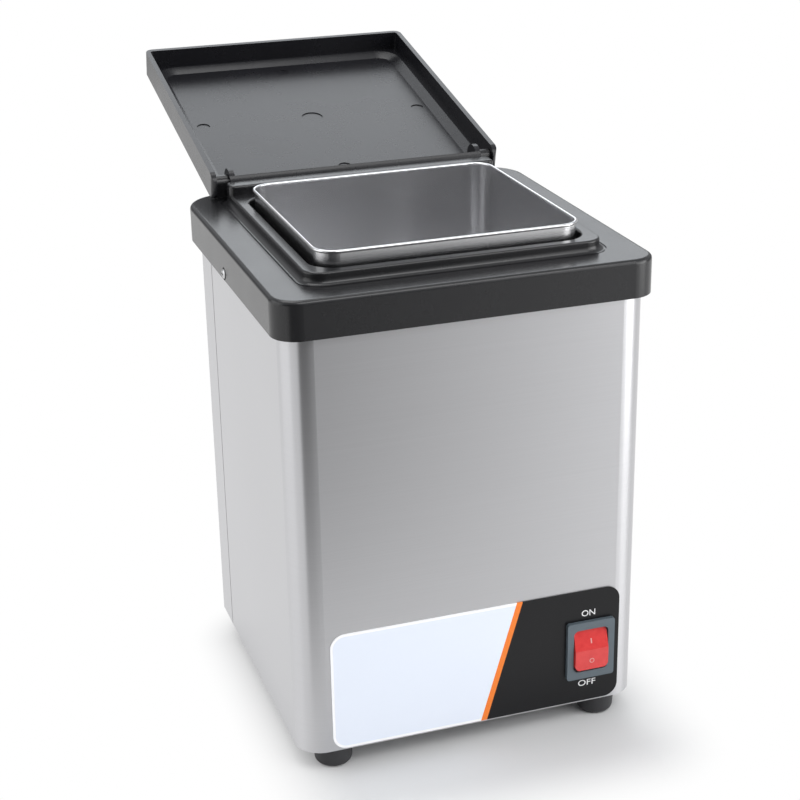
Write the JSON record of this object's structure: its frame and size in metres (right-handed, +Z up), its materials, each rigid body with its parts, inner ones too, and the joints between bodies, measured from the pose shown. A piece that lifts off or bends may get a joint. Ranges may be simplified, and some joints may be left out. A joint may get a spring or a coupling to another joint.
{
  "type": "countertop garnish chiller",
  "caption": "Chilled countertop bar garnish tray: steel housing on rubber feet, black moulded top with a hinged lid, lift-out pan in a cooled well, and a lit rocker switch on the front.",
  "frame": {"origin": "under the middle of the steel housing, on the plane that the four feet stand on", "axes": "+Z up, +Y from the front with the switch to the rear with the hinge, +X to the right as seen from the front"},
  "size_m": [0.206, 0.3792, 0.3236],
  "materials": {
    "brushed_steel": "vertically brushed stainless sheet",
    "screw_steel": "plated screws and nuts",
    "plated_steel": "zinc plated sheet",
    "foot_rubber": "matt black rubber",
    "bezel_plastic": "satin black moulded ABS",
    "lid_plastic": "satin black moulded ABS",
    "seal_rubber": "closed cell sealing foam",
    "well_aluminium": "plain drawn aluminium",
    "pan_steel": "drawn stainless sheet with a polished rim",
    "insulation_foam": "rigid polyurethane foam",
    "block_aluminium": "sawn and extruded aluminium",
    "module_ceramic": "white alumina plates",
    "fan_plastic": "black glass filled plastic",
    "circuit_board": "green circuit board with its components",
    "inlet_plastic": "black thermoset plastic",
    "switch_plastic": "slate grey nylon",
    "rocker_red": "translucent red plastic",
    "terminal_brass": "tinned brass blades",
    "plate_print": "printed plastic sheet: white, black and an orange stripe",
    "pin_steel": "bright steel pins"
  },
  "bodies": {
    "cabinet": {"housing_wrap": "brushed_steel", "rear_cover": "brushed_steel", "cover_screws": "screw_steel", "base_plate": "plated_steel", "foot_front_left": "foot_rubber", "foot_front_right": "foot_rubber", "foot_rear_left": "foot_rubber", "foot_rear_right": "foot_rubber", "foot_screws": "screw_steel", "foot_nuts": "screw_steel", "top_bezel": "bezel_plastic", "bezel_screws": "screw_steel", "well_gasket": "seal_rubber", "cold_well": "well_aluminium", "well_screws": "screw_steel", "foam_jacket": "insulation_foam", "cold_block": "block_aluminium", "block_screws": "screw_steel", "thermoelectric_module": "module_ceramic", "module_gasket": "seal_rubber", "heat_sink": "block_aluminium", "sink_screws": "screw_steel", "fan_frame": "fan_plastic", "fan_screws": "screw_steel", "supply_tray": "plated_steel", "supply_board": "circuit_board", "supply_screws": "screw_steel", "power_inlet": "inlet_plastic", "inlet_screws": "screw_steel", "switch_body": "switch_plastic", "switch_terminals": "terminal_brass", "control_plate": "plate_print", "hinge_pin_left": "pin_steel", "hinge_pin_right": "pin_steel"},
    "lid": {"lid": "lid_plastic"},
    "pan": {"garnish_pan": "pan_steel"},
    "rocker": {"rocker": "rocker_red"},
    "fan": {"fan_rotor": "fan_plastic"}
  },
  "joints": [
    {"name": "lid_hinge", "type": "hinge", "parent": "cabinet", "child": "lid", "pos_m": [0, 0.1045, 0.2767], "axis": [1, 0, 0], "range_deg": [0, 167.6]},
    {"name": "pan_lift", "type": "slide", "parent": "cabinet", "child": "pan", "axis": [0, 0, 1], "range_m": [0, 0.13]},
    {"name": "rocker_tilt", "type": "hinge", "parent": "cabinet", "child": "rocker", "pos_m": [0.068, -0.0901, 0.046], "axis": [1, 0, 0], "range_deg": [0, 18]},
    {"name": "fan_spin", "type": "hinge", "parent": "cabinet", "child": "fan", "pos_m": [0, 0.0055, 0.0869], "axis": [0, 0, 1], "continuous": true}
  ]
}
